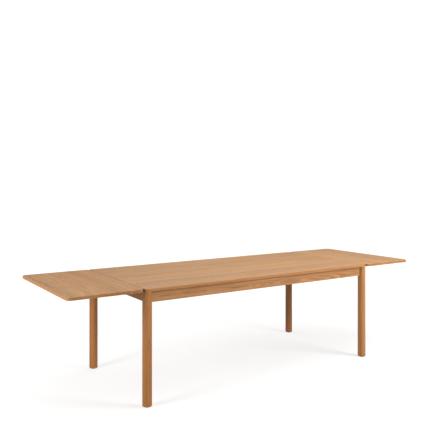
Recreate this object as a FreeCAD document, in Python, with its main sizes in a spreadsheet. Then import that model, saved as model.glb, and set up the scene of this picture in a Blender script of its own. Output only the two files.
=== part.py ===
"""Extendable oak dining table: a four-legged table with a loose leaf on pull-out runners at each end.

Millimetres. The origin is on the floor under the table's middle, X runs along the table,
-Y is the front and Z points up. The table is modelled extended, with both leaves in place.
"""
import FreeCAD
import Part

import math
import os
import re

import Sketcher
from FreeCAD import Placement, Rotation, Vector

# Driving dimensions, in millimetres.
DIMENSIONS = {
    # tops
    "table_height": 750, "top_length": 2000, "top_width": 970, "top_thickness": 20,
    "leaf_length": 499.5, "leaf_gap": 0.5, "edge_round": 2,
    # legs and their feet
    "leg_diameter": 62, "foot_round": 5, "glide_diameter": 38, "glide_height": 4,
    "glide_pin_diameter": 6, "glide_pin_length": 16,
    # aprons and rails
    "apron_height": 72, "apron_thickness": 22, "apron_setback": 24, "shoulder_gap": 0.1,
    "tenon_thickness": 12, "tenon_height": 48, "tenon_core": 20, "joint_gap": 0.05, "arris": 2,
    "rail_height": 66, "rail_thickness": 22, "rail_tenon_length": 8, "rail_tenon_height": 40,
    # corner blocks and hanger bolts
    "block_thickness": 22, "block_height": 64, "block_leg_gap": 2, "bolt_diameter": 8,
    "bolt_spread": 17, "bolt_start": 8, "bolt_length": 62, "washer_diameter": 18, "washer_gauge": 1.6,
    "nut_width": 13, "nut_height": 6.5, "bolt_hole_play": 0.6,
    "block_screw_out": 50, "block_screw_seat": 6, "block_screw_spread": 20, "block_screw_length": 22,
    # wood screws and the top's brackets
    "screw_diameter": 4, "screw_head_diameter": 8, "screw_head_height": 2.4, "pilot_play": 0.1,
    "recess_span": 4.4, "recess_width": 1, "recess_depth": 1.4,
    "counterbore_diameter": 9, "bracket_pitch": 500, "bracket_leg": 25, "bracket_width": 20,
    "bracket_gauge": 2, "bracket_hole_out": 15, "bracket_screw_length": 16,
    # pull-out runners
    "runner_width": 24, "runner_height": 40, "runner_length": 976, "runner_offset": 230,
    "runner_travel": 440, "runner_top_gap": 0.3, "runner_tip_height": 20, "runner_bevel_length": 60,
    "stop_pin_diameter": 8, "stop_pin_length": 44, "stop_pin_inset": 24, "stop_pin_drop": 28,
    "stop_pin_gap": 0.4, "bumper_diameter": 16, "bumper_height": 6, "bumper_gap": 0.3,
    "guide_side_play": 0.5, "guide_bottom_play": 0.4, "guide_wall": 2, "guide_flange": 4,
    "guide_flange_gauge": 1.5, "rail_notch_play": 1,
    # leaf battens and dowels
    "batten_width": 20, "batten_height": 25, "batten_length": 420, "batten_inset": 30,
    "batten_runner_gap": 1.5, "batten_screw_pitch": 170, "batten_screw_length": 32, "batten_screw_seat": 4,
    "dowel_diameter": 9.8, "dowel_length": 58, "dowel_proud": 30, "dowel_inner": 140, "dowel_outer": 400,
    "dowel_tip": 1.5, "bush_bore": 10, "bush_diameter": 12, "bush_length": 32,
}

# The lines that several pieces share, written in terms of the driving dimensions.
UNDERSIDE = "(table_height - top_thickness)"
LEG_X = "(top_length / 2 - leg_diameter / 2)"
LEG_Y = "(top_width / 2 - leg_diameter / 2)"
APRON_INNER = "(apron_setback + apron_thickness)"
RUNNER_TOP = "(table_height - top_thickness - runner_top_gap)"
RUNNER_HOME = "(rail_thickness / 2 + bumper_height + bumper_gap)"
CROSS_RAIL_X = ("(rail_thickness + bumper_height + bumper_gap + runner_travel + stop_pin_inset"
                " + stop_pin_diameter / 2 + stop_pin_gap)")
LEAF_X = "(top_length / 2 + leaf_gap)"
BATTEN_Y = "(runner_offset - runner_width / 2 - batten_runner_gap - batten_width / 2)"
DOWEL_Z = "(table_height - top_thickness / 2)"

SIDES = {"left": -1, "right": 1}
ENDS = {"front": -1, "rear": 1}

doc = FreeCAD.newDocument("ExtendableDiningTable")
sheet = doc.addObject("Spreadsheet::Sheet", "Dimensions")
pieces = []


# ---------------------------------------------------------------- sheet and expressions

def fill_sheet():
    """One row per driving dimension: its name in column A and its value, aliased, in column B."""
    for row, (name, size) in enumerate(DIMENSIONS.items(), start=1):
        sheet.set("A%d" % row, name)
        sheet.set("B%d" % row, str(size))
        sheet.setAlias("B%d" % row, name)
    doc.recompute()


def full(expression):
    """The expression with each dimension's name turned into a reference to the sheet."""
    def refer(word):
        return "Dimensions." + word.group() if word.group() in DIMENSIONS else word.group()
    return re.sub(r"[a-z_]+", refer, str(expression))


def size(expression):
    """The number that an expression of the driving dimensions comes to."""
    return float(sheet.evalExpression(full(expression)))


def bind(item, name, expression):
    item.setExpression(name, full(expression))


# ---------------------------------------------------------------- bodies, sketches and features

def new_body(label):
    body = doc.addObject("PartDesign::Body", label)
    body.Label = label
    pieces.append(body)
    return body


def place(item, x="0", y="0", z="0", turn=0):
    """Put a piece at x, y, z, turned about Z by a number of degrees."""
    item.Placement = Placement(Vector(size(x), size(y), size(z)), Rotation(Vector(0, 0, 1), turn))
    for axis, expression in (("x", x), ("y", y), ("z", z)):
        bind(item, "Placement.Base." + axis, expression)


def new_sketch(body, role, offset="0", turn=0, shift="0"):
    """A sketch on one of the body's own origin planes, moved along its normal by offset.

    turn swings it about the plane's second axis, and shift moves it along the plane's first axis.
    """
    sketch = body.newObject("Sketcher::SketchObject", body.Label + "_sketch")
    plane = [item for item in body.Origin.OriginFeatures if item.Role == role][0]
    sketch.AttachmentSupport = (plane, [""])
    sketch.MapMode = "FlatFace"
    sketch.AttachmentOffset = Placement(Vector(0, 0, 0), Rotation(Vector(0, 1, 0), turn))
    bind(sketch, "AttachmentOffset.Base.x", shift)
    bind(sketch, "AttachmentOffset.Base.z", offset)
    return sketch


def pin_point(sketch, geometry, point, x, y):
    """Fix one point of a sketch at x, y from its origin, each an expression."""
    for kind, axis, expression in (("DistanceX", -2, x), ("DistanceY", -1, y)):
        if abs(size(expression)) < 1e-9:
            sketch.addConstraint(Sketcher.Constraint("PointOnObject", geometry, point, axis))
            continue
        index = sketch.addConstraint(Sketcher.Constraint(kind, -1, 1, geometry, point, size(expression)))
        bind(sketch, "Constraints[%d]" % index, expression)


def draw_polygon(sketch, corners):
    """A closed outline of straight lines through corners, pairs of expressions."""
    points = [Vector(size(x), size(y), 0) for x, y in corners]
    count = len(points)
    first = sketch.GeometryCount
    for index in range(count):
        sketch.addGeometry(Part.LineSegment(points[index], points[(index + 1) % count]))
    for index in range(count):
        following = first + (index + 1) % count
        sketch.addConstraint(Sketcher.Constraint("Coincident", first + index, 2, following, 1))
    for index, (x, y) in enumerate(corners):
        pin_point(sketch, first + index, 1, x, y)


def draw_box(sketch, x_low, y_low, x_high, y_high):
    draw_polygon(sketch, [(x_low, y_low), (x_high, y_low), (x_high, y_high), (x_low, y_high)])


def draw_circle(sketch, x, y, diameter):
    circle = Part.Circle(Vector(size(x), size(y), 0), Vector(0, 0, 1), size(diameter) / 2)
    geometry = sketch.addGeometry(circle)
    pin_point(sketch, geometry, 3, x, y)
    index = sketch.addConstraint(Sketcher.Constraint("Diameter", geometry, size(diameter)))
    bind(sketch, "Constraints[%d]" % index, diameter)


def pad(body, sketch, length):
    """Add the sketch's outline, swept along its normal."""
    feature = body.newObject("PartDesign::Pad", body.Label + "_pad")
    feature.Profile = sketch
    bind(feature, "Length", length)
    return feature


def pocket(body, sketch, length, along_normal=False):
    """Cut the sketch's outline away, swept against its normal or along it."""
    feature = body.newObject("PartDesign::Pocket", body.Label + "_pocket")
    feature.Profile = sketch
    feature.Reversed = along_normal
    bind(feature, "Length", length)
    return feature


def revolve(body, sketch):
    """Turn the sketch's outline about its own vertical axis."""
    feature = body.newObject("PartDesign::Revolution", body.Label + "_revolution")
    feature.Profile = sketch
    feature.ReferenceAxis = (sketch, ["V_Axis"])
    feature.Angle = 360
    return feature


def round_edges(body, radius, chosen):
    """Fillet the edges of the body's last feature that chosen() picks by their bounding box."""
    doc.recompute()
    base = body.Tip
    names = ["Edge%d" % (number + 1) for number, edge in enumerate(base.Shape.Edges)
             if chosen(edge.BoundBox)]
    feature = body.newObject("PartDesign::Fillet", body.Label + "_fillet")
    feature.Base = (base, names)
    bind(feature, "Radius", radius)
    return feature


def is_level(box):
    """True for an edge that lies in one horizontal plane."""
    return box.ZLength < 1e-6


def is_upright(box):
    return box.XLength < 1e-6 and box.YLength < 1e-6


def new_group(label, solids):
    """A node of several loose solids alike, such as one size of screw."""
    group = doc.addObject("Part::Feature", label)
    group.Label = label
    group.Shape = Part.makeCompound(solids)
    pieces.append(group)
    return group


def turned(points):
    """The solid of revolution about Z of a closed outline of (radius, height) points."""
    outline = [Vector(radius, 0, height) for radius, height in points]
    face = Part.Face(Part.makePolygon(outline + outline[:1]))
    return face.revolve(Vector(0, 0, 0), Vector(0, 0, 1), 360)


def aimed(solid, start, direction):
    """The solid moved from the origin to start, with its Z axis turned to direction."""
    copy = solid.copy()
    copy.Placement = Placement(start, Rotation(Vector(0, 0, 1), direction))
    return copy


# ---------------------------------------------------------------- tops and leaves

def make_main_top():
    """The fixed top: a solid board with its plan corners rounded to the legs' own radius."""
    body = new_body("main_top")
    outline = new_sketch(body, "XY_Plane")
    draw_box(outline, "-top_length / 2", "-top_width / 2", "top_length / 2", "top_width / 2")
    pad(body, outline, "top_thickness")
    round_edges(body, "leg_diameter / 2", is_upright)
    round_edges(body, "edge_round", is_level)
    for end in (-1, 1):
        bores = new_sketch(body, "YZ_Plane", "%d * top_length / 2" % end)
        for y in dowel_lines():
            draw_circle(bores, y, "top_thickness / 2", "bush_diameter + pilot_play")
        pocket(body, bores, "bush_length", along_normal=end < 0)
    pilots = new_sketch(body, "XY_Plane")
    for x, y, _ in bracket_spots():
        draw_circle(pilots, x, y, "screw_diameter + pilot_play")
    pocket(body, pilots, "bracket_screw_length - bracket_gauge", along_normal=True)
    place(body, z=UNDERSIDE)


def dowel_lines():
    """Where a leaf's dowels lie across the table."""
    return ["-dowel_outer", "-dowel_inner", "dowel_inner", "dowel_outer"]


def make_leaf(side):
    """A leaf, with its inner edge at local x = 0 and its corners rounded as the main top's are."""
    body = new_body("leaf_" + side)
    outline = new_sketch(body, "XY_Plane")
    draw_box(outline, "0", "-top_width / 2", "leaf_length", "top_width / 2")
    pad(body, outline, "top_thickness")
    round_edges(body, "leg_diameter / 2", is_upright)
    round_edges(body, "edge_round", is_level)
    bores = new_sketch(body, "YZ_Plane")
    for y in dowel_lines():
        draw_circle(bores, y, "top_thickness / 2", "dowel_diameter + pilot_play")
    pocket(body, bores, "dowel_length - dowel_proud", along_normal=True)
    pilots = new_sketch(body, "XY_Plane")
    for x in batten_screw_stations("batten_inset - leaf_gap"):
        for y in (BATTEN_Y, "-" + BATTEN_Y):
            draw_circle(pilots, x, y, "screw_diameter + pilot_play")
    pocket(body, pilots, "batten_screw_length - batten_height + batten_screw_seat", along_normal=True)
    place_end(body, side, LEAF_X, "0", UNDERSIDE)


def place_end(item, side, x, y, z):
    """Place a piece whose local +X points outwards at the table's left or right end."""
    if side == "right":
        place(item, x, y, z)
    else:
        place(item, "-" + x, y, z, turn=180)


def batten_screw_stations(start):
    """The battens' three screw holes, from the end that lies at start."""
    middle = "%s + batten_length / 2" % start
    return [middle + " - batten_screw_pitch", middle, middle + " + batten_screw_pitch"]


def make_leaf_batten(side, end):
    """A batten screwed under the leaf beside the runner, across the leaf's grain to hold it flat."""
    body = new_body("leaf_batten_%s_%s" % (side, end))
    outline = new_sketch(body, "XY_Plane", "-batten_height")
    draw_box(outline, "0", "-batten_width / 2", "batten_length", "batten_width / 2")
    pad(body, outline, "batten_height")
    low = -size("batten_height")
    round_edges(body, "arris", lambda box: is_level(box) and abs(box.ZMin - low) < 1e-6)
    holes = new_sketch(body, "XY_Plane", "-batten_height")
    seats = new_sketch(body, "XY_Plane", "-batten_height")
    for x in batten_screw_stations("0"):
        draw_circle(holes, x, "0", "screw_diameter + pilot_play")
        draw_circle(seats, x, "0", "counterbore_diameter")
    pocket(body, holes, "batten_height", along_normal=True)
    pocket(body, seats, "batten_screw_seat", along_normal=True)
    y = BATTEN_Y if ENDS[end] > 0 else "-" + BATTEN_Y
    place_end(body, side, "(top_length / 2 + batten_inset)", y, UNDERSIDE)


def make_batten_screws(side):
    """Six screws that go up through the battens' counterbores into the leaf."""
    screw = screw_solid("batten_screw_length")
    solids = []
    for x in batten_screw_stations("top_length / 2 + batten_inset"):
        for end in (-1, 1):
            foot = UNDERSIDE + " - batten_height + batten_screw_seat"
            start = Vector(SIDES[side] * size(x), end * size(BATTEN_Y), size(foot))
            solids.append(aimed(screw, start, Vector(0, 0, 1)))
    new_group("batten_screws_" + side, solids)


def make_leaf_dowels(side):
    """Four dowels glued into the leaf's inner edge, which slide into the main top's bushes."""
    radius = size("dowel_diameter / 2")
    length = size("dowel_length")
    tip = size("dowel_tip")
    dowel = turned([(0, 0), (radius - tip, 0), (radius, tip), (radius, length - tip),
                    (radius - tip, length), (0, length)])
    sign = SIDES[side]
    start = sign * size(LEAF_X + " - dowel_proud")
    solids = [aimed(dowel, Vector(start, size(y), size(DOWEL_Z)), Vector(sign, 0, 0))
              for y in dowel_lines()]
    new_group("leaf_dowels_" + side, solids)


def make_leaf_bushes(side):
    """Four brass bushes let into the main top's end edge."""
    bore = size("bush_bore / 2")
    radius = size("bush_diameter / 2")
    length = size("bush_length")
    bush = turned([(bore, 0), (radius, 0), (radius, length), (bore, length)])
    sign = SIDES[side]
    solids = [aimed(bush, Vector(sign * size("top_length / 2"), size(y), size(DOWEL_Z)), Vector(-sign, 0, 0))
              for y in dowel_lines()]
    new_group("leaf_bushes_" + side, solids)


# ---------------------------------------------------------------- legs and feet

def corner_turn(side, end):
    """Degrees about Z that carry the front left corner's pieces to another corner."""
    return {("left", "front"): 0, ("right", "front"): 90, ("right", "rear"): 180, ("left", "rear"): 270}[side, end]


def place_corner(item, side, end, z):
    x = LEG_X if side == "right" else "-" + LEG_X
    y = LEG_Y if end == "rear" else "-" + LEG_Y
    place(item, x, y, z, turn=corner_turn(side, end))


def tenon_low():
    """The apron tenon's lower end, from the floor."""
    return UNDERSIDE + " - apron_height / 2 - tenon_height / 2"


def tenon_near():
    """The apron tenon's outer face, measured inwards from the leg's axis."""
    return "(apron_setback + (apron_thickness - tenon_thickness) / 2 - leg_diameter / 2)"


def make_leg(side, end):
    """A round leg, with two stub mortises for the aprons and two hanger bolt holes between them."""
    body = new_body("leg_%s_%s" % (end, side))
    circle = new_sketch(body, "XY_Plane", "glide_height")
    draw_circle(circle, "0", "0", "leg_diameter")
    pad(body, circle, UNDERSIDE + " - glide_height")
    low = size("glide_height")
    round_edges(body, "foot_round", lambda box: is_level(box) and box.ZMin < low + 1e-6)
    near = tenon_near() + " - joint_gap"
    far = tenon_near() + " + tenon_thickness + joint_gap"
    core = "tenon_core - 4 * joint_gap"
    mortises = new_sketch(body, "XY_Plane", tenon_low() + " - joint_gap")
    draw_box(mortises, core, near, "leg_diameter / 2 + 5", far)
    draw_box(mortises, near, core, far, "leg_diameter / 2 + 5")
    pocket(body, mortises, "tenon_height + 2 * joint_gap", along_normal=True)
    start = "bolt_start / sqrt(2)"
    bolts = new_sketch(body, "YZ_Plane", start, turn=45, shift=start)
    for height in bolt_heights():
        draw_circle(bolts, "0", height, "bolt_diameter + pilot_play")
    pocket(body, bolts, "leg_diameter / 2", along_normal=True)
    pin = new_sketch(body, "XY_Plane", "glide_height")
    draw_circle(pin, "0", "0", "glide_pin_diameter + pilot_play")
    pocket(body, pin, "glide_pin_length", along_normal=True)
    place_corner(body, side, end, "0")


def bolt_heights():
    """The two hanger bolts' heights above the floor, either side of the apron's middle."""
    middle = UNDERSIDE + " - apron_height / 2"
    return [middle + " - bolt_spread", middle + " + bolt_spread"]


def make_glide(side, end):
    """A round glide under the foot, on a pin that is driven up into the leg."""
    body = new_body("glide_%s_%s" % (end, side))
    outline = new_sketch(body, "XZ_Plane")
    draw_polygon(outline, [("0", "0"), ("glide_diameter / 2 - 1", "0"), ("glide_diameter / 2", "1"),
                           ("glide_diameter / 2", "glide_height"), ("glide_pin_diameter / 2", "glide_height"),
                           ("glide_pin_diameter / 2", "glide_height + glide_pin_length - 1"),
                           ("0", "glide_height + glide_pin_length - 1")])
    revolve(body, outline)
    place_corner(body, side, end, "0")


# ---------------------------------------------------------------- aprons, rails and corner blocks

def make_apron(label, half_span, bracket_stations, rail_stations, runner_stations):
    """An apron in its own frame: outer face at y = 0, inner face at +y, top edge at z = 0.

    half_span is half the distance between the two legs' axes. The ends are scribed to the round
    legs and carry stub tenons. Brackets, rail mortises and runner notches lie at the x stations.
    """
    body = new_body(label)
    blank = new_sketch(body, "XY_Plane", "-apron_height")
    reach = half_span + " - leg_diameter / 4"
    draw_box(blank, "-(%s)" % reach, "0", reach, "apron_thickness")
    pad(body, blank, "apron_height")
    bottom = -size("apron_height")
    round_edges(body, "arris", lambda box: box.XLength > 100 and box.ZMax < bottom + 1e-6)
    scribe = new_sketch(body, "XY_Plane", "-apron_height")
    tenons = new_sketch(body, "XY_Plane", "-apron_height / 2 - tenon_height / 2")
    near = "(apron_thickness - tenon_thickness) / 2"
    for sign in ("-", ""):
        draw_circle(scribe, "%s(%s)" % (sign, half_span), "leg_diameter / 2 - apron_setback",
                    "leg_diameter + 2 * shoulder_gap")
        root = "%s(%s - leg_diameter / 2 - 5)" % (sign, half_span)
        tip = "%s(%s - tenon_core)" % (sign, half_span)
        draw_box(tenons, root, near, tip, near + " + tenon_thickness")
    pocket(body, scribe, "apron_height", along_normal=True)
    pad(body, tenons, "tenon_height")
    if runner_stations:
        notches = new_sketch(body, "XY_Plane")
        half = "(runner_width / 2 + guide_side_play + guide_wall)"
        for x in runner_stations:
            draw_box(notches, "%s - %s" % (x, half), "-1", "%s + %s" % (x, half), "apron_thickness + 1")
        pocket(body, notches, "runner_top_gap + runner_height + guide_bottom_play + guide_wall")
    inner = new_sketch(body, "XZ_Plane", "-apron_thickness")
    for x in bracket_stations:
        draw_circle(inner, x, "-bracket_hole_out", "screw_diameter + pilot_play")
    screw_x = half_span + " - block_screw_out"
    for x in ("-(%s)" % screw_x, screw_x):
        for z in ("-apron_height / 2 - block_screw_spread", "-apron_height / 2 + block_screw_spread"):
            draw_circle(inner, x, z, "screw_diameter + pilot_play")
    pocket(body, inner, "block_screw_length - block_screw_seat", along_normal=True)
    if rail_stations:
        mortises = new_sketch(body, "XZ_Plane", "-apron_thickness")
        half = "(tenon_thickness / 2 + joint_gap)"
        middle = "-rail_height / 2"
        tall = "(rail_tenon_height / 2 + joint_gap)"
        for x in rail_stations:
            draw_box(mortises, "%s - %s" % (x, half), "%s - %s" % (middle, tall),
                     "%s + %s" % (x, half), "%s + %s" % (middle, tall))
        pocket(body, mortises, "rail_tenon_length + 4 * joint_gap", along_normal=True)
    return body


def make_aprons():
    """Two long aprons, which hold the rails, and two end aprons, which the runners pass through."""
    rails = ["-" + CROSS_RAIL_X, "0", CROSS_RAIL_X]
    for end, turn in (("front", 0), ("rear", 180)):
        apron = make_apron("apron_" + end, LEG_X, side_bracket_stations(), rails, [])
        y = "%d * (top_width / 2 - apron_setback)" % ENDS[end]
        place(apron, "0", y, UNDERSIDE, turn=turn)
    for side, turn in (("left", 270), ("right", 90)):
        apron = make_apron("apron_" + side, LEG_Y, ["0"], [], ["-runner_offset", "runner_offset"])
        x = "%d * (top_length / 2 - apron_setback)" % SIDES[side]
        place(apron, x, "0", UNDERSIDE, turn=turn)


def make_rail(label, x, notched):
    """A rail across the table between the long aprons, under the top, with notches for the runners."""
    body = new_body(label)
    reach = "(top_width / 2 - %s)" % APRON_INNER
    blank = new_sketch(body, "XY_Plane", "-rail_height")
    draw_box(blank, "-rail_thickness / 2", "-" + reach, "rail_thickness / 2", reach)
    pad(body, blank, "rail_height")
    bottom = -size("rail_height")
    round_edges(body, "arris", lambda box: box.YLength > 100 and box.ZMax < bottom + 1e-6)
    tenons = new_sketch(body, "XY_Plane", "-rail_height / 2 - rail_tenon_height / 2")
    for sign in ("-", ""):
        draw_box(tenons, "-tenon_thickness / 2", "%s(%s - 5)" % (sign, reach),
                 "tenon_thickness / 2", "%s(%s + rail_tenon_length)" % (sign, reach))
    pad(body, tenons, "rail_tenon_height")
    if notched:
        notches = new_sketch(body, "XY_Plane")
        half = "(runner_width / 2 + rail_notch_play)"
        for y in ("-runner_offset", "runner_offset"):
            draw_box(notches, "-rail_thickness / 2 - 1", "%s - %s" % (y, half),
                     "rail_thickness / 2 + 1", "%s + %s" % (y, half))
        pocket(body, notches, "runner_top_gap + runner_height + rail_notch_play")
    place(body, x, "0", UNDERSIDE)


def make_corner_block(side, end):
    """A block across the corner behind a leg, screwed to both aprons; the hanger bolts pull on it."""
    body = new_body("corner_block_%s_%s" % (end, side))
    face = "(%s - leg_diameter / 2)" % APRON_INNER
    outer = "(sqrt(2) * (leg_diameter / 2 + block_leg_gap) - %s)" % face
    inner = "(sqrt(2) * (leg_diameter / 2 + block_leg_gap + block_thickness) - %s)" % face
    middle = UNDERSIDE + " - apron_height / 2"
    blank = new_sketch(body, "XY_Plane", middle + " - block_height / 2")
    draw_polygon(blank, [(outer, face), (inner, face), (face, inner), (face, outer)])
    pad(body, blank, "block_height")
    start = "leg_diameter / 4 / sqrt(2)"
    bolts = new_sketch(body, "YZ_Plane", start, turn=45, shift=start)
    for height in bolt_heights():
        draw_circle(bolts, "0", height, "bolt_diameter + bolt_hole_play")
    pocket(body, bolts, "leg_diameter + block_thickness", along_normal=True)
    for diameter, depth in (("screw_diameter + pilot_play", face),
                            ("counterbore_diameter", face + " + block_screw_seat")):
        for role, sign, toward in (("XZ_Plane", "-", False), ("YZ_Plane", "", True)):
            holes = new_sketch(body, role, "%s(%s)" % (sign, depth))
            for height in ("block_screw_spread", "-block_screw_spread"):
                draw_circle(holes, "block_screw_out", "%s + %s" % (middle, height), diameter)
            pocket(body, holes, "block_screw_out", along_normal=toward)
    place_corner(body, side, end, "0")


# ---------------------------------------------------------------- fasteners

def screw_solid(length):
    """A pan head wood screw along +Z: the head's bearing face is at z = 0 and the tip at length.

    The head has a cross recess.
    """
    radius = size("screw_diameter / 2")
    head = size("screw_head_diameter / 2")
    height = size("screw_head_height")
    tip = size(length)
    screw = turned([(0, -height), (head * 0.7, -height), (head, -height * 0.4), (head, 0), (radius, 0),
                    (radius, tip - 2 * radius), (0, tip)])
    long = size("recess_span")
    wide = size("recess_width")
    depth = size("recess_depth")
    for across, along in ((long, wide), (wide, long)):
        screw = screw.cut(Part.makeBox(across, along, depth, Vector(-across / 2, -along / 2, -height)))
    return screw.Solids[0]


def at_corners(solids):
    """Copies of the front left corner's fasteners at all four corners."""
    copies = []
    for side in SIDES:
        for end in ENDS:
            corner = Vector(SIDES[side] * size(LEG_X), ENDS[end] * size(LEG_Y), 0)
            corner_place = Placement(corner, Rotation(Vector(0, 0, 1), corner_turn(side, end)))
            for solid in solids:
                copy = solid.copy()
                copy.Placement = corner_place.multiply(solid.Placement)
                copies.append(copy)
    return copies


def make_hanger_bolts():
    """Hanger bolts, washers and nuts, on the diagonals from the legs' axes through the blocks."""
    diagonal = Vector(1, 1, 0).normalize()
    radius = size("bolt_diameter / 2")
    bolt = turned([(0, 0), (radius - 1, 0), (radius, 1), (radius, size("bolt_length") - 1),
                   (radius - 1, size("bolt_length")), (0, size("bolt_length"))])
    washer_bore = radius + 0.2
    washer_radius = size("washer_diameter / 2")
    gauge = size("washer_gauge")
    washer = turned([(washer_bore, 0), (washer_radius, 0), (washer_radius, gauge), (washer_bore, gauge)])
    nut = hexagonal_nut(radius + size("joint_gap"))
    seat = size("leg_diameter / 2 + block_leg_gap + block_thickness")
    groups = (("hanger_bolts", bolt, size("bolt_start")), ("hanger_washers", washer, seat),
              ("hanger_nuts", nut, seat + gauge))
    for label, solid, distance in groups:
        starts = [diagonal * distance + Vector(0, 0, size(height)) for height in bolt_heights()]
        new_group(label, at_corners([aimed(solid, start, diagonal) for start in starts]))


def hexagonal_nut(bore):
    """A hexagonal nut along +Z."""
    corner = size("nut_width / 2") / math.cos(math.pi / 6)
    points = [Vector(corner * math.cos(step * math.pi / 3), corner * math.sin(step * math.pi / 3), 0)
              for step in range(6)]
    prism = Part.Face(Part.makePolygon(points + points[:1])).extrude(Vector(0, 0, size("nut_height")))
    return prism.cut(Part.makeCylinder(bore, size("nut_height")))


def make_block_screws():
    """Four screws at each corner, which hold its block to the two aprons."""
    screw = screw_solid("block_screw_length")
    seat = size("%s - leg_diameter / 2 + block_screw_seat" % APRON_INNER)
    out = size("block_screw_out")
    solids = []
    for spread in (-1, 1):
        z = size("%s - apron_height / 2" % UNDERSIDE) + spread * size("block_screw_spread")
        solids.append(aimed(screw, Vector(out, seat, z), Vector(0, -1, 0)))
        solids.append(aimed(screw, Vector(seat, out, z), Vector(-1, 0, 0)))
    new_group("corner_block_screws", at_corners(solids))


def side_bracket_stations():
    return ["-3 * bracket_pitch / 2", "-bracket_pitch / 2", "bracket_pitch / 2", "3 * bracket_pitch / 2"]


def bracket_spots():
    """Each top bracket's screw hole in the top, as x, y and the direction from the apron inwards."""
    spots = []
    for x in side_bracket_stations():
        y = "(top_width / 2 - %s - bracket_hole_out)" % APRON_INNER
        spots.append((x, "-" + y, Vector(0, 1, 0)))
        spots.append((x, y, Vector(0, -1, 0)))
    x = "(top_length / 2 - %s - bracket_hole_out)" % APRON_INNER
    spots.append(("-" + x, "0", Vector(1, 0, 0)))
    spots.append((x, "0", Vector(-1, 0, 0)))
    return spots


def make_top_brackets():
    """Steel angle brackets that hold the top to the aprons, with a screw in each leg."""
    leg = size("bracket_leg")
    gauge = size("bracket_gauge")
    width = size("bracket_width")
    out = size("bracket_hole_out")
    hole = size("screw_diameter / 2") + 0.25
    corner = Vector(0, -width / 2, 0)
    bracket = Part.makeBox(leg, width, gauge, corner - Vector(0, 0, gauge))
    bracket = bracket.fuse(Part.makeBox(gauge, width, leg, corner - Vector(0, 0, leg)))
    bracket = bracket.cut(Part.makeCylinder(hole, gauge * 3, Vector(out, 0, -gauge * 2)))
    bracket = bracket.cut(Part.makeCylinder(hole, gauge * 3, Vector(-gauge, 0, -out), Vector(1, 0, 0)))
    bracket = bracket.removeSplitter()
    screw = screw_solid("bracket_screw_length")
    upward = aimed(screw, Vector(out, 0, -gauge), Vector(0, 0, 1))
    sideways = aimed(screw, Vector(gauge, 0, -out), Vector(-1, 0, 0))
    brackets = []
    screws = []
    for x, y, inwards in bracket_spots():
        heading = Rotation(Vector(1, 0, 0), inwards)
        if inwards.x < 0:
            heading = Rotation(Vector(0, 0, 1), 180)
        spot = Placement(Vector(size(x), size(y), size(UNDERSIDE)) - inwards * out, heading)
        for solid, group in ((bracket, brackets), (upward, screws), (sideways, screws)):
            copy = solid.copy()
            copy.Placement = spot.multiply(solid.Placement)
            group.append(copy)
    new_group("top_brackets", brackets)
    new_group("top_bracket_screws", screws)


# ---------------------------------------------------------------- runners

def place_runner_piece(item, side, end, x, z):
    """Place a piece on a runner's line; x is its distance from the table's middle."""
    y = "runner_offset" if end == "rear" else "-runner_offset"
    place_end(item, side, x, y, z)


def make_runner(side, end):
    """A pull-out runner: inner end at local x = 0, top at z = 0, with its outer tip bevelled below."""
    body = new_body("runner_%s_%s" % (side, end))
    profile = new_sketch(body, "XZ_Plane", "-runner_width / 2")
    draw_polygon(profile, [("0", "-runner_height"), ("runner_length - runner_bevel_length", "-runner_height"),
                           ("runner_length", "-runner_tip_height"), ("runner_length", "0"), ("0", "0")])
    pad(body, profile, "runner_width")
    round_edges(body, "arris / 2", lambda box: box.XLength > 10)
    hole = new_sketch(body, "XZ_Plane", "runner_width / 2 + 1")
    draw_circle(hole, "stop_pin_inset", "-stop_pin_drop", "stop_pin_diameter + joint_gap")
    pocket(body, hole, "runner_width + 2")
    place_runner_piece(body, side, end, "(%s + runner_travel)" % RUNNER_HOME, RUNNER_TOP)


def make_stop_pin(side, end):
    """The pin across a runner that meets the cross rail when the runner is pulled right out."""
    body = new_body("stop_pin_%s_%s" % (side, end))
    profile = new_sketch(body, "XZ_Plane", "-stop_pin_length / 2")
    draw_circle(profile, "0", "0", "stop_pin_diameter")
    pad(body, profile, "stop_pin_length")
    x = "(%s + runner_travel + stop_pin_inset)" % RUNNER_HOME
    place_runner_piece(body, side, end, x, RUNNER_TOP + " - stop_pin_drop")


def make_runner_guide(side, end):
    """A nylon liner that clips into the end apron's notch, with a thin flange on both its faces."""
    body = new_body("runner_guide_%s_%s" % (side, end))
    bore = "(runner_width / 2 + guide_side_play)"
    floor = "(-runner_height - guide_bottom_play)"
    long_half = "(apron_thickness / 2 + guide_flange_gauge)"
    sections = ((long_half, "guide_flange_gauge", "guide_flange"),
                ("(apron_thickness / 2)", "apron_thickness", "guide_wall"),
                ("(-apron_thickness / 2)", "guide_flange_gauge", "guide_flange"))
    for front, length, wall in sections:
        profile = new_sketch(body, "YZ_Plane", "%s - %s" % (front, length))
        draw_polygon(profile, [("-(%s + %s)" % (bore, wall), "%s - %s" % (floor, wall)),
                               ("%s + %s" % (bore, wall), "%s - %s" % (floor, wall)),
                               ("%s + %s" % (bore, wall), "0"), (bore, "0"), (bore, floor),
                               ("-" + bore, floor), ("-" + bore, "0"), ("-(%s + %s)" % (bore, wall), "0")])
        pad(body, profile, length)
    x = "(top_length / 2 - apron_setback - apron_thickness / 2)"
    place_runner_piece(body, side, end, x, RUNNER_TOP)


def make_runner_bumper(side, end):
    """A rubber bumper on the centre rail, which the runner meets when it is pushed right in."""
    body = new_body("runner_bumper_%s_%s" % (side, end))
    disc = new_sketch(body, "YZ_Plane")
    draw_circle(disc, "0", "-runner_height / 2", "bumper_diameter")
    pad(body, disc, "bumper_height")
    place_runner_piece(body, side, end, "(rail_thickness / 2)", RUNNER_TOP)


# ---------------------------------------------------------------- the whole table

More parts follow.
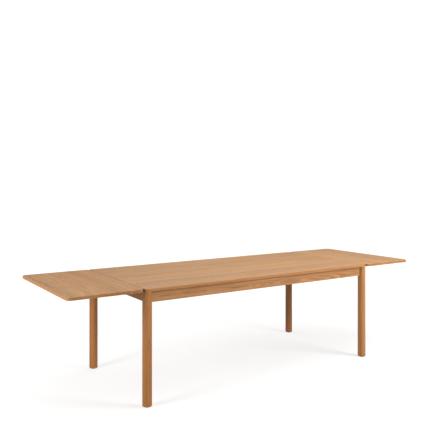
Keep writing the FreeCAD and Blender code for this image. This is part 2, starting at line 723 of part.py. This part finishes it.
def build_table():
    make_main_top()
    make_aprons()
    make_rail("cross_rail_left", "-" + CROSS_RAIL_X, notched=True)
    make_rail("centre_rail", "0", notched=False)
    make_rail("cross_rail_right", CROSS_RAIL_X, notched=True)
    for side in SIDES:
        make_leaf(side)
        make_leaf_dowels(side)
        make_leaf_bushes(side)
        make_batten_screws(side)
        for end in ENDS:
            make_leg(side, end)
            make_glide(side, end)
            make_corner_block(side, end)
            make_leaf_batten(side, end)
            make_runner(side, end)
            make_stop_pin(side, end)
            make_runner_guide(side, end)
            make_runner_bumper(side, end)
    make_hanger_bolts()
    make_block_screws()
    make_top_brackets()
    doc.recompute()


def check_table():
    """Stop if any object failed, any piece is broken, or any pocket cut nothing."""
    for item in doc.Objects:
        if "Invalid" in item.State or "Error" in item.State:
            raise RuntimeError("%s failed: %s" % (item.Label, item.State))
        if item.TypeId == "PartDesign::Pocket":
            if item.Shape.Volume > item.BaseFeature.Shape.Volume - 1:
                raise RuntimeError(item.Label + " cut nothing")
    for piece in pieces:
        if piece.Shape.isNull() or not piece.Shape.isValid():
            raise RuntimeError(piece.Label + " has no valid shape")


def export_table():
    os.makedirs("parts", exist_ok=True)
    for piece in pieces:
        piece.Shape.exportStep("parts/%s.step" % piece.Label)


fill_sheet()
build_table()
check_table()
export_table()
print("%d pieces" % len(pieces))
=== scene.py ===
import math

import bpy
from mathutils import Euler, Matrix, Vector


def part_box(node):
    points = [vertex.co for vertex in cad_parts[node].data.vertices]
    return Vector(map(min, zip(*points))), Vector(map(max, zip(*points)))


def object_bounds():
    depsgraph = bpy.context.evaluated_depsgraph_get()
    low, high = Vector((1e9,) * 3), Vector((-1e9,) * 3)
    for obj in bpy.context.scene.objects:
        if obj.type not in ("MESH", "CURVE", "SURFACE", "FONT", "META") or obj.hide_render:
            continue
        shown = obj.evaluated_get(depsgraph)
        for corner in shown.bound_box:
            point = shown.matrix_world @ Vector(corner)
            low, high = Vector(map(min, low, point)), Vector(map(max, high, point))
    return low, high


# Looks for an extendable oak dining table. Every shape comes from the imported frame; this script gives
# each piece its own procedural material and adds the floor, the lights and the camera.

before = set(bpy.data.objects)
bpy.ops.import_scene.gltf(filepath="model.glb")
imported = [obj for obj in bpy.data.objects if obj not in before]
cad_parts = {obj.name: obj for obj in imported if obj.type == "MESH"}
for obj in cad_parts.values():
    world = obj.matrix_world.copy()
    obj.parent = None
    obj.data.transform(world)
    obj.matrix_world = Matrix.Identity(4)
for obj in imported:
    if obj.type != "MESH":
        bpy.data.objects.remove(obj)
cad_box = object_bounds()

MILLIMETRE = 1000.0      # object coordinates are metres, and the timber patterns are in millimetres
SIDES = ("left", "right")
ENDS = ("front", "rear")
X, Y, Z = 0, 1, 2


# ---------------------------------------------------------------- shader graph helpers

class Graph:
    """Short ways to add nodes to one shader tree."""

    def __init__(self, tree):
        self.tree = tree

    def node(self, kind, **settings):
        item = self.tree.nodes.new(kind)
        for name, value in settings.items():
            setattr(item, name, value)
        return item

    def feed(self, socket, value):
        """Link a socket to another, or set its own value."""
        if isinstance(value, bpy.types.NodeSocket):
            self.tree.links.new(value, socket)
        else:
            socket.default_value = value

    def math(self, operation, *values, clamp=False):
        item = self.node("ShaderNodeMath", operation=operation, use_clamp=clamp)
        for socket, value in zip(item.inputs, values):
            self.feed(socket, value)
        return item.outputs[0]

    def add(self, a, b):
        return self.math("ADD", a, b)

    def subtract(self, a, b):
        return self.math("SUBTRACT", a, b)

    def multiply(self, a, b):
        return self.math("MULTIPLY", a, b)

    def scaled(self, value, centre, gain):
        """(value - centre) * gain."""
        return self.multiply(self.subtract(value, centre), gain)

    def step(self, value, low, high, low_out=0.0, high_out=1.0):
        """A smooth step from low_out at low to high_out at high."""
        item = self.node("ShaderNodeMapRange", interpolation_type="SMOOTHSTEP")
        for name, number in (("Value", value), ("From Min", low), ("From Max", high),
                             ("To Min", low_out), ("To Max", high_out)):
            self.feed(item.inputs[name], number)
        return item.outputs["Result"]

    def combine(self, x, y, z):
        item = self.node("ShaderNodeCombineXYZ")
        for socket, value in zip(item.inputs, (x, y, z)):
            self.feed(socket, value)
        return item.outputs[0]

    def separate(self, vector):
        item = self.node("ShaderNodeSeparateXYZ")
        self.feed(item.inputs[0], vector)
        return item.outputs

    def stretch(self, point, x, y, z):
        """The point's parts divided by a pattern's size along, across and through the grain."""
        item = self.node("ShaderNodeVectorMath", operation="DIVIDE")
        self.feed(item.inputs[0], point)
        item.inputs[1].default_value = (x, y, z)
        return item.outputs[0]

    def shift(self, point, offset):
        item = self.node("ShaderNodeVectorMath", operation="ADD")
        self.feed(item.inputs[0], point)
        self.feed(item.inputs[1], offset)
        return item.outputs[0]

    def noise(self, vector, scale=1.0, detail=2.0, roughness=0.5, distortion=0.0):
        item = self.node("ShaderNodeTexNoise")
        self.feed(item.inputs["Vector"], vector)
        self.feed(item.inputs["Scale"], scale)
        self.feed(item.inputs["Detail"], detail)
        self.feed(item.inputs["Roughness"], roughness)
        self.feed(item.inputs["Distortion"], distortion)
        return item.outputs["Fac"]

    def noise_line(self, value, detail=1.0):
        """Noise along a line."""
        item = self.node("ShaderNodeTexNoise", noise_dimensions="1D")
        self.feed(item.inputs["W"], value)
        self.feed(item.inputs["Scale"], 1.0)
        self.feed(item.inputs["Detail"], detail)
        return item.outputs["Fac"]

    def mix(self, factor, a, b, blend="MIX"):
        item = self.node("ShaderNodeMix", data_type="RGBA", blend_type=blend)
        self.feed(item.inputs["Factor"], factor)
        self.feed(item.inputs["A"], a)
        self.feed(item.inputs["B"], b)
        return item.outputs["Result"]

    def bump(self, height, distance):
        item = self.node("ShaderNodeBump")
        self.feed(item.inputs["Height"], height)
        item.inputs["Distance"].default_value = distance
        return item.outputs["Normal"]


def new_material(name):
    """A material with an empty graph but for its Principled shader."""
    material = bpy.data.materials.new(name)
    material.use_nodes = True
    graph = Graph(material.node_tree)
    shader = material.node_tree.nodes["Principled BSDF"]
    return material, graph, shader


def object_point(graph):
    """Object coordinates in millimetres. They ride with the piece."""
    coordinates = graph.node("ShaderNodeTexCoord")
    item = graph.node("ShaderNodeVectorMath", operation="SCALE")
    graph.feed(item.inputs[0], coordinates.outputs["Object"])
    item.inputs["Scale"].default_value = MILLIMETRE
    return item.outputs[0]


# ---------------------------------------------------------------- timber

TIMBER_INPUTS = (("Point", "Vector"), ("End", "Float"), ("Seed", "Float"), ("Stave", "Float"),
                 ("Spread", "Float"), ("Ring", "Float"), ("Pith", "Float"), ("Tone", "Float"),
                 ("Aside", "Float"), ("Contrast", "Float"), ("WornAndHighlight", "Float"),
                 ("Light", "Color"), ("Dark", "Color"))
TIMBER_OUTPUTS = (("Color", "Color"), ("Roughness", "Float"), ("Height", "Float"))


def stave_numbers(graph, given, line):
    """The middle of the stave that a point is in, and six chance numbers that belong to that stave."""
    staves = graph.node("ShaderNodeTexVoronoi", voronoi_dimensions="1D")
    graph.feed(staves.inputs["W"], line)
    staves.inputs["Scale"].default_value = 1.0
    graph.feed(staves.inputs["Randomness"], given["Spread"])
    middle = graph.multiply(graph.subtract(staves.outputs["W"], given["Seed"]), given["Stave"])
    chances = []
    for apart in (0.0, 37.7):
        chance = graph.node("ShaderNodeTexWhiteNoise", noise_dimensions="1D")
        graph.feed(chance.inputs["W"], graph.add(staves.outputs["W"], apart))
        chances.extend(graph.separate(chance.outputs["Color"]))
    return middle, chances


def glue_line(graph, given, line):
    """1 on the line between two staves, about 0.5 mm to each side, and 0 elsewhere."""
    gap = graph.node("ShaderNodeTexVoronoi", voronoi_dimensions="1D", feature="DISTANCE_TO_EDGE")
    graph.feed(gap.inputs["W"], line)
    gap.inputs["Scale"].default_value = 1.0
    graph.feed(gap.inputs["Randomness"], given["Spread"])
    return graph.step(graph.multiply(gap.outputs["Distance"], given["Stave"]), 0.15, 0.5, 1.0, 0.0)


def growth(graph, given, place, middle, chances):
    """Early wood within each ring, and how dark each year is.

    A ring's number is the distance from a pith that leans and wanders along the stave.
    """
    along, across, through = graph.separate(given["Point"])
    _, two, three, four, five, six = chances
    sway = graph.scaled(graph.noise(graph.stretch(place, 480, 90, 90), detail=2), 0.5, 46.0)
    wander = graph.scaled(graph.noise(graph.stretch(place, 130, 24, 24), detail=2), 0.5, 9.0)
    lean_across = graph.multiply(graph.multiply(along, graph.subtract(four, 0.5)), 0.05)
    lean_through = graph.multiply(graph.multiply(along, graph.subtract(five, 0.5)), 0.07)
    offset = graph.multiply(graph.multiply(graph.subtract(three, 0.5), given["Pith"]), given["Aside"])
    depth = graph.multiply(given["Pith"], graph.add(graph.multiply(two, 1.1), 0.35))
    ring_y = graph.add(graph.add(graph.subtract(across, middle), offset), graph.add(lean_across, wander))
    ring_z = graph.add(graph.add(through, depth), graph.add(lean_through, sway))
    radius = graph.math("SQRT", graph.add(graph.multiply(ring_y, ring_y), graph.multiply(ring_z, ring_z)))
    ring = graph.math("DIVIDE", radius, given["Ring"])
    uneven = graph.add(ring, graph.scaled(graph.noise_line(graph.multiply(ring, 0.23), 2.0), 0.5, 3.0))
    season = graph.math("FRACT", uneven)
    early = graph.multiply(graph.step(season, 0.0, 0.12), graph.step(season, 0.2, 0.75, 1.0, 0.0))
    years = graph.noise_line(graph.add(graph.multiply(radius, 0.055), graph.multiply(six, 60.0)), 2.0)
    return early, years


def timber_tone(graph, given, place, stave_chance, early, years, fibre, rubbed):
    """How dark the wood is, from 0 for its light shade to 1 for its dark one."""
    streak = graph.noise(graph.stretch(place, 900, 14, 14), detail=3, roughness=0.6)
    cloud = graph.noise(graph.stretch(place, 260, 60, 60), detail=1)
    fleck = graph.step(graph.noise(graph.stretch(place, 5, 0.7, 9), detail=1), 0.66, 0.74)
    tone = graph.scaled(stave_chance, 0.5, 0.36)
    for part, centre, gain in ((years, 0.5, 1.0), (early, 0.3, 0.4), (fibre, 0.5, 0.5),
                               (streak, 0.5, 0.8), (cloud, 0.5, 0.4)):
        tone = graph.add(tone, graph.scaled(part, centre, gain))
    tone = graph.add(given["Tone"], graph.multiply(tone, given["Contrast"]))
    # Rubbed arrises come out lighter: wear, and a painted highlight along the arris.
    tone = graph.subtract(tone, graph.add(graph.multiply(fleck, 0.08), graph.multiply(rubbed, 0.3)))
    return graph.math("ADD", tone, graph.multiply(given["End"], 0.3), clamp=True)


def timber_group():
    """Oak as a solid: growth rings about a pith outside the stave, pores, fibres and stave tones.

    Point is in millimetres, along the grain, across the stave's width and through its thickness.
    End is 1 on end grain, and the arris input is 1 on the arrises, which are lightened there as wear and as
    a painted highlight.
    Pith is how far behind the face the pith lies, and Aside how far it may stray sideways, as a share of
    that.
    """
    tree = bpy.data.node_groups.new("timber", "ShaderNodeTree")
    for way, sockets in (("INPUT", TIMBER_INPUTS), ("OUTPUT", TIMBER_OUTPUTS)):
        for name, kind in sockets:
            tree.interface.new_socket(name=name, in_out=way, socket_type="NodeSocket" + kind)
    graph = Graph(tree)
    given = graph.node("NodeGroupInput").outputs
    line = graph.add(graph.math("DIVIDE", graph.separate(given["Point"])[1], given["Stave"]), given["Seed"])
    middle, chances = stave_numbers(graph, given, line)
    apart = graph.combine(*(graph.multiply(chance, 900.0) for chance in chances[:3]))
    place = graph.shift(given["Point"], apart)
    early, years = growth(graph, given, place, middle, chances)
    fibre = graph.noise(graph.stretch(place, 70, 1.8, 1.8), detail=3, roughness=0.6)
    pore = graph.step(graph.noise(graph.stretch(place, 11, 0.5, 0.5), detail=1), 0.58, 0.72)
    pores = graph.multiply(pore, graph.add(graph.multiply(early, 0.8), 0.2))
    patchy = graph.step(graph.noise(graph.stretch(given["Point"], 35, 35, 35), detail=3), 0.35, 0.65)
    # Lightened arrises, in patches: wear, and a painted highlight along the arris.
    rubbed = graph.multiply(given["WornAndHighlight"], patchy)
    tone = timber_tone(graph, given, place, chances[0], early, years, fibre, rubbed)

    # Colour: each stave's own hue, darker in the pores and on the glue lines.
    hue = graph.node("ShaderNodeHueSaturation")
    graph.feed(hue.inputs["Hue"], graph.add(graph.scaled(chances[3], 0.5, 0.004), 0.5))
    graph.feed(hue.inputs["Saturation"], graph.add(graph.scaled(chances[4], 0.5, 0.07), 1.0))
    graph.feed(hue.inputs["Color"], graph.mix(tone, given["Light"], given["Dark"]))
    deep = graph.mix(1.0, hue.outputs["Color"], PORE_SHADE, "MULTIPLY")
    color = graph.mix(graph.multiply(pores, 0.75), hue.outputs["Color"], deep)
    glue = glue_line(graph, given, line)
    color = graph.mix(graph.multiply(glue, 0.45), color, given["Dark"])

    # Roughness and relief: handling marks, open pores and a slight hollow along the early wood.
    handled = graph.noise(graph.stretch(given["Point"], 160, 160, 160), detail=4, roughness=0.65)
    rough = graph.add(graph.scaled(handled, 0.5, 0.22), 0.5)
    for part, gain in ((pores, 0.18), (given["End"], 0.12), (rubbed, 0.1)):
        rough = graph.add(rough, graph.multiply(part, gain))
    height = graph.subtract(graph.multiply(fibre, 0.25), graph.multiply(pores, 0.8))
    height = graph.subtract(height, graph.add(graph.multiply(early, 0.22), graph.multiply(glue, 0.5)))
    out = graph.node("NodeGroupOutput").inputs
    graph.feed(out["Color"], color)
    graph.feed(out["Roughness"], rough)
    graph.feed(out["Height"], height)
    return tree


PORE_SHADE = (0.5, 0.42, 0.36, 1.0)
TIMBER = timber_group()
WHOLE = 10000.0          # a stave width that leaves a piece as one stave
LACQUER_SHEEN = 0.38

# Linear colours, of light growth and of dark growth. The lacquered oak runs from pale to deep.
PALE_OAK = ((0.5, 0.278, 0.127, 1.0), (0.27, 0.135, 0.053, 1.0))
OAK = ((0.499, 0.239, 0.084, 1.0), (0.263, 0.109, 0.032, 1.0))
# A darker copy of the oak for the upright faces of the tops: painted shade, for the less light that falls
# on them.
SHADED_UPRIGHT_OAK = ((0.486, 0.221, 0.074, 1.0), (0.248, 0.099, 0.028, 1.0))
DEEP_OAK = ((0.473, 0.199, 0.05, 1.0), (0.236, 0.081, 0.016, 1.0))
PLAIN_OAK = ((0.56, 0.33, 0.155, 1.0), (0.33, 0.165, 0.062, 1.0))
BEECH = ((0.68, 0.42, 0.24, 1.0), (0.45, 0.24, 0.12, 1.0))
# Colour of the dark joint between top and leaf, also used as painted shade in the notch at the joint's
# ends.
SEAM_DIRT_AND_SHADE = (0.09, 0.045, 0.02, 1.0)

# Each leg's shades and tone. The rear right leg's much darker tone is painted shade, for the shadow under
# the table.
LEGS = {"front_left": (DEEP_OAK, 0.58), "front_right": (OAK, 0.62),
        "rear_left": (DEEP_OAK, 0.45), "rear_right": (DEEP_OAK, 0.85)}


def arris(graph, centred, half):
    """1 within about 3 mm of a box's edges, where two of its faces are near, and 0 elsewhere."""
    near = [graph.subtract(half[axis], graph.math("ABSOLUTE", centred[axis])) for axis in range(3)]
    low = graph.math("MINIMUM", near[0], near[1])
    high = graph.math("MAXIMUM", near[0], near[1])
    second = graph.math("MAXIMUM", low, graph.math("MINIMUM", high, near[2]))
    return graph.step(second, 1.0, 4.0, 1.0, 0.0)


def seam_dirt_and_notch_shade(graph, color, x, level, seam):
    """Darken the joint at x = seam millimetres: 3 mm to each side on a face that is level, where level
    is 1, as a dark joint, and 12 mm in the notch at the joint's ends, where it is 0, as painted shade
    there.
    """
    away = graph.math("ABSOLUTE", graph.subtract(graph.math("ABSOLUTE", x), seam))
    reach = graph.step(level, 0.3, 0.8, 12.0, 3.0)
    dirt_and_shade = graph.multiply(graph.step(away, 0.8, reach, 1.0, 0.0), 0.75)
    return graph.mix(dirt_and_shade, color, SEAM_DIRT_AND_SHADE)


def timber(name, grain, face, seed, stave=WHOLE, ring=3.2, pith=60.0, aside=2.4, tone=0.45, contrast=0.8,
           shades=OAK, painted_shade_upright=None, gloss=0.0, relief=0.00025, seam=None):
    """An oak material: grain is the axis along the fibres and face the axis across a stave's width.

    Upright faces take darker upright shades, painted shade for the less light they get; the joint at x =
    seam millimetres is darkened, a dark joint on the faces and painted shade in the notch at its ends.
    """
    material, graph, shader = new_material(name)
    through = 3 - grain - face
    parts = graph.separate(object_point(graph))
    low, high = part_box(name)
    centred = [graph.subtract(parts[axis], (low[axis] + high[axis]) / 2 * MILLIMETRE) for axis in range(3)]
    half = [(high[axis] - low[axis]) / 2 * MILLIMETRE for axis in range(3)]
    point = graph.combine(centred[grain], centred[face], centred[through])
    normal = graph.separate(graph.node("ShaderNodeTexCoord").outputs["Normal"])
    end = graph.step(graph.math("ABSOLUTE", normal[grain]), 0.6, 0.95)
    wood = graph.node("ShaderNodeGroup", node_tree=TIMBER)
    spread = 0.0 if stave == WHOLE else 0.55
    light, dark = shades
    level = graph.math("ABSOLUTE", normal[Z])
    # Upright faces take the darker upright shades: painted shade, as they get less light than the level
    # faces.
    if painted_shade_upright:
        unshaded_level = graph.step(level, 0.3, 0.8)
        light = graph.mix(unshaded_level, painted_shade_upright[0], light)
        dark = graph.mix(unshaded_level, painted_shade_upright[1], dark)
    for socket, value in (("Point", point), ("End", end), ("Seed", float(seed)), ("Stave", stave),
                          ("Spread", spread), ("Ring", ring), ("Pith", pith), ("Aside", aside),
                          ("Tone", tone), ("Contrast", contrast), ("WornAndHighlight", arris(graph, centred, half)),
                          ("Light", light), ("Dark", dark)):
        graph.feed(wood.inputs[socket], value)
    color = wood.outputs["Color"]
    if seam:
        color = seam_dirt_and_notch_shade(graph, color, parts[X], level, seam)
    graph.feed(shader.inputs["Base Color"], color)
    graph.feed(shader.inputs["Roughness"], graph.subtract(wood.outputs["Roughness"], gloss))
    graph.feed(shader.inputs["Normal"], graph.bump(wood.outputs["Height"], relief))
    shader.inputs["Specular IOR Level"].default_value = LACQUER_SHEEN
    return material


# ---------------------------------------------------------------- other materials

ZINC = (0.62, 0.63, 0.66, 1.0)
BRASS = (0.83, 0.62, 0.27, 1.0)
NYLON = (0.72, 0.7, 0.64, 1.0)
GLIDE_PLASTIC = (0.05, 0.045, 0.04, 1.0)
RUBBER = (0.03, 0.03, 0.032, 1.0)


def metal(name, color, rough, scratch):
    """Bare or plated metal with fine machining marks, stains and uneven gloss."""
    material, graph, shader = new_material(name)
    point = object_point(graph)
    marks = graph.noise(graph.stretch(point, *scratch), detail=4, roughness=0.6)
    stain = graph.noise(graph.stretch(point, 6, 6, 6), detail=4, roughness=0.6)
    dull = tuple(channel * 0.6 for channel in color[:3]) + (1.0,)
    tint = graph.mix(graph.step(stain, 0.4, 0.75), color, dull)
    graph.feed(shader.inputs["Base Color"], tint)
    graph.feed(shader.inputs["Roughness"], graph.add(graph.scaled(marks, 0.5, 0.3), rough))
    graph.feed(shader.inputs["Normal"], graph.bump(marks, 0.00005))
    shader.inputs["Metallic"].default_value = 1.0
    return material


def moulded(name, color, rough, grain=0.6):
    """Moulded plastic or rubber with a fine texture, dust and rubbed patches."""
    material, graph, shader = new_material(name)
    point = object_point(graph)
    pitted = graph.noise(graph.stretch(point, grain, grain, grain), detail=2)
    patch = graph.noise(graph.stretch(point, 9, 9, 9), detail=4, roughness=0.6)
    rubbed = tuple(min(1.0, channel * 1.35 + 0.02) for channel in color[:3]) + (1.0,)
    graph.feed(shader.inputs["Base Color"], graph.mix(graph.step(patch, 0.45, 0.8), color, rubbed))
    graph.feed(shader.inputs["Roughness"], graph.add(graph.scaled(patch, 0.5, 0.25), rough))
    graph.feed(shader.inputs["Normal"], graph.bump(pitted, 0.00008))
    return material


def dress(node, material):
    """Give every slot of a CAD node its material."""
    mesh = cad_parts[node].data
    for index in range(len(mesh.materials)):
        mesh.materials[index] = material


# ---------------------------------------------------------------- which piece is made of what

# Ways of sawing and finishing the timber, as settings of timber().
# BOARD gives the tops darker shades on their upright edges, which is painted shade.
BOARD = {"pith": 75.0, "shades": PALE_OAK, "painted_shade_upright": SHADED_UPRIGHT_OAK}
FLAT_SAWN = {"pith": 40.0, "aside": 0.5, "ring": 4.5}
TURNED = {"pith": 58.0, "ring": 3.0, "contrast": 0.8}
PLANED = {"shades": PLAIN_OAK, "gloss": -0.12}
WAXED = {"shades": PLAIN_OAK, "gloss": -0.1, "ring": 2.6}
BARE_BEECH = {"shades": BEECH, "gloss": -0.15, "ring": 2.0}


def dress_tops():
    """The main top and the leaves: wide boards of staves, with dark joints at the seams, and painted shade
    in the notches at the seams' ends and on their upright edges.
    """
    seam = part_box("main_top")[1][X] * MILLIMETRE
    dress("main_top", timber("main_top", X, Y, 300, stave=78.0, contrast=0.55, seam=seam, **BOARD))
    for index, side in enumerate(SIDES):
        leaf = "leaf_" + side
        dress(leaf, timber(leaf, Y, X, 400 + 100 * index, stave=88.0, contrast=0.75, seam=seam, **BOARD))


def dress_aprons():
    """Flat-sawn aprons. The end ones are darker, painted shade for the shadow under the leaves."""
    for index, side in enumerate(SIDES):
        apron = "apron_" + side
        dress(apron, timber(apron, Y, Z, 21 + index, tone=0.7, shades=DEEP_OAK, **FLAT_SAWN))
    for index, end in enumerate(ENDS):
        apron = "apron_" + end
        dress(apron, timber(apron, X, Z, 25 + index, contrast=1.2, **FLAT_SAWN))


def dress_rails():
    """The rails that stay between the long aprons."""
    for index, rail in enumerate(("cross_rail_left", "cross_rail_right", "centre_rail")):
        dress(rail, timber(rail, Y, Z, 11 + index, **PLANED))


def dress_corner(corner, seed):
    """A leg, its corner block and its glide."""
    leg = "leg_" + corner
    shades, tone = LEGS[corner]
    dress(leg, timber(leg, Z, X, seed, tone=tone, shades=shades, **TURNED))
    block = "corner_block_" + corner
    dress(block, timber(block, Z, X, seed + 10, **PLANED))
    glide = "glide_" + corner
    dress(glide, moulded(glide, GLIDE_PLASTIC, 0.5))


def dress_track(track, seed):
    """A runner with its stop pin, guide and bumper, and the leaf batten beside it."""
    runner = "runner_" + track
    dress(runner, timber(runner, X, Z, seed + 20, **WAXED))
    batten = "leaf_batten_" + track
    dress(batten, timber(batten, X, Y, seed + 30, **WAXED))
    pin = "stop_pin_" + track
    dress(pin, timber(pin, Y, X, seed + 40, **BARE_BEECH))
    guide = "runner_guide_" + track
    dress(guide, moulded(guide, NYLON, 0.45))
    bumper = "runner_bumper_" + track
    dress(bumper, moulded(bumper, RUBBER, 0.7, grain=0.3))


def dress_fittings():
    """Dowels, bushes and every screw, bolt and bracket."""
    for index, side in enumerate(SIDES):
        dowels = "leaf_dowels_" + side
        dress(dowels, timber(dowels, X, Y, 15 + index, **BARE_BEECH))
        bushes = "leaf_bushes_" + side
        dress(bushes, metal(bushes, BRASS, 0.3, (40, 0.4, 0.4)))
        screws = "batten_screws_" + side
        dress(screws, metal(screws, ZINC, 0.35, (0.5, 0.5, 12)))
    for fastener in ("hanger_bolts", "hanger_washers", "hanger_nuts", "corner_block_screws",
                     "top_brackets", "top_bracket_screws"):
        dress(fastener, metal(fastener, ZINC, 0.35, (0.6, 0.6, 8)))


def dress_table():
    dress_tops()
    dress_aprons()
    dress_rails()
    for index, side in enumerate(SIDES):
        for place, end in enumerate(ENDS):
            seed = 31 + 2 * index + place
            dress_corner("%s_%s" % (end, side), seed)
            dress_track("%s_%s" % (side, end), seed)
    dress_fittings()


# ---------------------------------------------------------------- floor, light and camera

def make_floor():
    """A plain pale floor, far larger than the view, with a glow of its own that grows away from the table.

    The table gets only a share of the glow that the camera sees, which keeps the undersides in shade.
    """
    reach = 60.0
    gap = 0.0005                       # under the feet, so that no two faces coincide
    glow_near, glow_far = 0.66, 0.95
    table_share = 0.6
    mesh = bpy.data.meshes.new("floor")
    corners = [(-reach, -reach, 0.0), (reach, -reach, 0.0), (reach, reach, 0.0), (-reach, reach, 0.0)]
    mesh.from_pydata(corners, [], [(0, 1, 2, 3)])
    floor = bpy.data.objects.new("floor", mesh)
    bpy.context.scene.collection.objects.link(floor)
    floor.location.z = cad_box[0][Z] - gap
    material, graph, shader = new_material("floor")
    point = object_point(graph)
    cloud = graph.noise(graph.stretch(point, 900, 900, 900), detail=2)
    graph.feed(shader.inputs["Base Color"], graph.mix(cloud, (0.34, 0.34, 0.34, 1), (0.37, 0.37, 0.37, 1)))
    shader.inputs["Roughness"].default_value = 0.9
    shader.inputs["Specular IOR Level"].default_value = 0.1
    shader.inputs["Emission Color"].default_value = (1.0, 1.0, 1.0, 1.0)
    distance = graph.node("ShaderNodeVectorMath", operation="LENGTH")
    graph.feed(distance.inputs[0], point)
    glow = graph.step(distance.outputs["Value"], 1200.0, 4500.0, glow_near, glow_far)
    seen = graph.node("ShaderNodeLightPath").outputs["Is Camera Ray"]
    share = graph.add(graph.multiply(seen, 1.0 - table_share), table_share)
    graph.feed(shader.inputs["Emission Strength"], graph.multiply(glow, share))
    mesh.materials.append(material)


# Name, place, what it faces, width and height in metres, and watts.
LIGHTS = (("overhead", (0.5, 0.1, 3.2), (0.3, 0.0, 0.75), 3.6, 2.0, 76.0),
          ("key", (2.4, -3.2, 2.3), (0.7, -0.3, 0.6), 1.6, 1.6, 158.0),
          ("fill", (-4.2, -0.6, 1.7), (-1.2, 0.0, 0.5), 1.2, 0.9, 100.0))


def make_light(name, location, target, width, height, power):
    """A soft box at location that faces target."""
    light = bpy.data.lights.new(name, "AREA")
    light.shape = "RECTANGLE"
    light.size = width
    light.size_y = height
    light.energy = power
    item = bpy.data.objects.new(name, light)
    bpy.context.scene.collection.objects.link(item)
    item.location = location
    item.rotation_euler = (Vector(target) - Vector(location)).to_track_quat("-Z", "Y").to_euler()
    item.visible_camera = False


def make_world(backdrop, ambient):
    """A white backdrop behind the table, and a dimmer even light from all round."""
    world = bpy.data.worlds.new("studio")
    world.use_nodes = True
    graph = Graph(world.node_tree)
    lit = world.node_tree.nodes["Background"]
    seen = graph.node("ShaderNodeBackground")
    for background, strength in ((seen, backdrop), (lit, ambient)):
        background.inputs["Color"].default_value = (1.0, 1.0, 1.0, 1.0)
        background.inputs["Strength"].default_value = strength
    choice = graph.node("ShaderNodeMixShader")
    graph.feed(choice.inputs[0], graph.node("ShaderNodeLightPath").outputs["Is Camera Ray"])
    graph.feed(choice.inputs[1], lit.outputs[0])
    graph.feed(choice.inputs[2], seen.outputs[0])
    graph.feed(world.node_tree.nodes["World Output"].inputs["Surface"], choice.outputs[0])
    bpy.context.scene.world = world


def make_camera():
    """Stands off the front left, level, and looks along the table with the lens shifted down."""
    camera = bpy.data.cameras.new("camera")
    camera.sensor_fit = "HORIZONTAL"
    camera.sensor_width = 36.0
    camera.lens = 49.14
    camera.shift_y = -0.0819
    item = bpy.data.objects.new("camera", camera)
    bpy.context.scene.collection.objects.link(item)
    item.location = (-2.643, -3.799, 1.435)
    item.rotation_euler = Euler((math.radians(90), 0, math.radians(-33.18)))
    bpy.context.scene.camera = item


dress_table()
make_floor()
make_world(backdrop=1.02, ambient=0.34)
for setting in LIGHTS:
    make_light(*setting)
make_camera()
bpy.context.scene.view_settings.view_transform = "Standard"
